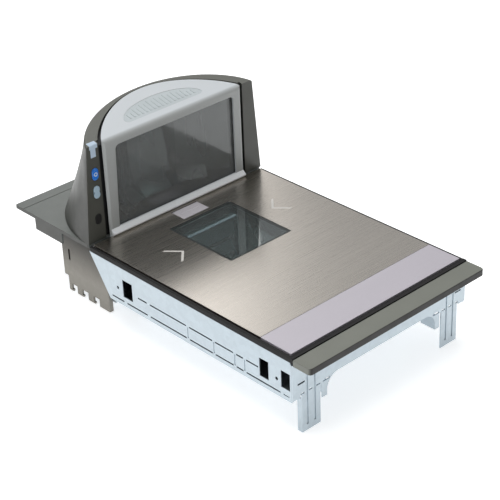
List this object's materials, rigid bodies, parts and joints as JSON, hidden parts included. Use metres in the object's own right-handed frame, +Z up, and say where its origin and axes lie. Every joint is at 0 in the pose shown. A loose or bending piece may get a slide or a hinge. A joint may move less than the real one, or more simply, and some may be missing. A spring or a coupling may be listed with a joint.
{
  "type": "in-counter bi-optic barcode scanner with scale",
  "caption": "Checkout counter scanner-scale: sheet-metal tub on legs, lift-off steel weighing platter with a window, and a domed vertical scanning tower behind it.",
  "frame": {"origin": "middle of the footprint at the level of the feet", "axes": "+X to the cashier's right, +Y from the cashier's edge towards the tower and deck, +Z up"},
  "size_m": [0.292, 0.539, 0.2528],
  "materials": {
    "zinc_sheet": "zinc-plated sheet, satin",
    "hook_plate": "zinc-plated plate, warm grey",
    "bonnet_plastic": "fine-textured warm dark grey",
    "deck_plastic": "fine-textured grey",
    "rail_plastic": "fine-textured grey-brown",
    "black_plastic": "matt black",
    "gasket_rubber": "matt black",
    "bezel_plastic": "light grey, satin",
    "foot_plastic": "pale, glossy",
    "badge_plastic": "pale grey, ribbed",
    "platter_steel": "fine brushed",
    "strip_satin": "pale satin",
    "frame_casting": "die-cast",
    "spider_casting": "die-cast",
    "load_cell_alloy": "machined",
    "steel_fastener": "zinc-plated",
    "steel_pin": "ground",
    "window_glass": "clear, hard coated",
    "tower_glass": "clear, lightly tinted",
    "optic_mirror": "front-silvered",
    "lens_plastic": "pale blue, translucent",
    "button_blue": "blue",
    "button_pale": "pale grey-blue",
    "icon_white": "white",
    "arrow_inlay": "off-white",
    "board_green": "solder mask",
    "dome_rubber": "silicone",
    "tab_satin": "pale satin"
  },
  "bodies": {
    "chassis": {"left_side_wall": "zinc_sheet", "right_side_wall": "zinc_sheet", "chassis_tub": "zinc_sheet", "front_bracket": "zinc_sheet", "left_rear_bracket": "hook_plate", "right_rear_bracket": "hook_plate", "rear_housing": "zinc_sheet", "interface_panel": "zinc_sheet", "interface_sockets": "black_plastic", "main_board": "board_green", "power_board": "board_green", "rear_deck": "deck_plastic", "platter_gasket": "gasket_rubber", "front_rail": "rail_plastic", "load_cell_mount": "frame_casting", "load_cell": "load_cell_alloy", "load_cell_bolts": "steel_fastener", "overload_stops": "steel_fastener", "optics_cover": "black_plastic", "deck_window_seal": "gasket_rubber", "deck_window": "window_glass", "spinner_motor": "black_plastic", "laser_modules": "black_plastic", "collection_mirror": "optic_mirror", "well_mirrors": "optic_mirror", "bonnet": "bonnet_plastic", "status_lamp": "lens_plastic", "speaker_grille": "black_plastic", "speaker": "black_plastic", "button_domes": "dome_rubber", "control_board": "board_green", "tower_frame": "black_plastic", "tower_window_seal": "gasket_rubber", "tower_window": "tower_glass", "tower_mirrors": "optic_mirror", "tower_mirror_carrier": "black_plastic", "chassis_screws": "steel_fastener", "rail_screws": "steel_fastener"},
    "scale": {"scale_spider": "spider_casting", "spider_pads": "gasket_rubber"},
    "platter": {"platter_sheet": "platter_steel", "front_strip": "strip_satin", "platter_frame": "frame_casting", "platter_window": "window_glass", "scan_arrows": "arrow_inlay", "tab_pin": "steel_pin", "tower_bezel": "bezel_plastic", "bezel_badge": "badge_plastic", "bezel_foot": "foot_plastic", "bezel_screws": "steel_fastener"},
    "lift_tab": {"lift_tab": "tab_satin"},
    "volume_button": {"volume_button": "button_blue", "volume_icon": "icon_white"},
    "zero_button": {"zero_button": "button_pale"},
    "polygon": {"mirror_polygon": "optic_mirror"}
  },
  "joints": [
    {"name": "scale_deflect", "type": "slide", "parent": "chassis", "child": "scale", "axis": [0, 0, 1], "range_m": [-0.0004, 0], "stiffness_N_per_m": 300000, "springref_m": 0.0003},
    {"name": "platter_lift", "type": "slide", "parent": "scale", "child": "platter", "axis": [0, 0, 1], "range_m": [0, 0.2]},
    {"name": "tab_hinge", "type": "hinge", "parent": "platter", "child": "lift_tab", "pos_m": [0, 0.1016, 0.1053], "axis": [-1, 0, 0], "range_deg": [0, 80]},
    {"name": "volume_press", "type": "slide", "parent": "chassis", "child": "volume_button", "axis": [0, 1, 0], "range_m": [0, 0.001], "stiffness_N_per_m": 1500, "springref_m": -0.0005},
    {"name": "zero_press", "type": "slide", "parent": "chassis", "child": "zero_button", "axis": [0, 1, 0], "range_m": [0, 0.001], "stiffness_N_per_m": 1500, "springref_m": -0.0005},
    {"name": "polygon_spin", "type": "hinge", "parent": "chassis", "child": "polygon", "pos_m": [0, 0.018, 0.0335], "axis": [0, 0, 1], "continuous": true}
  ]
}
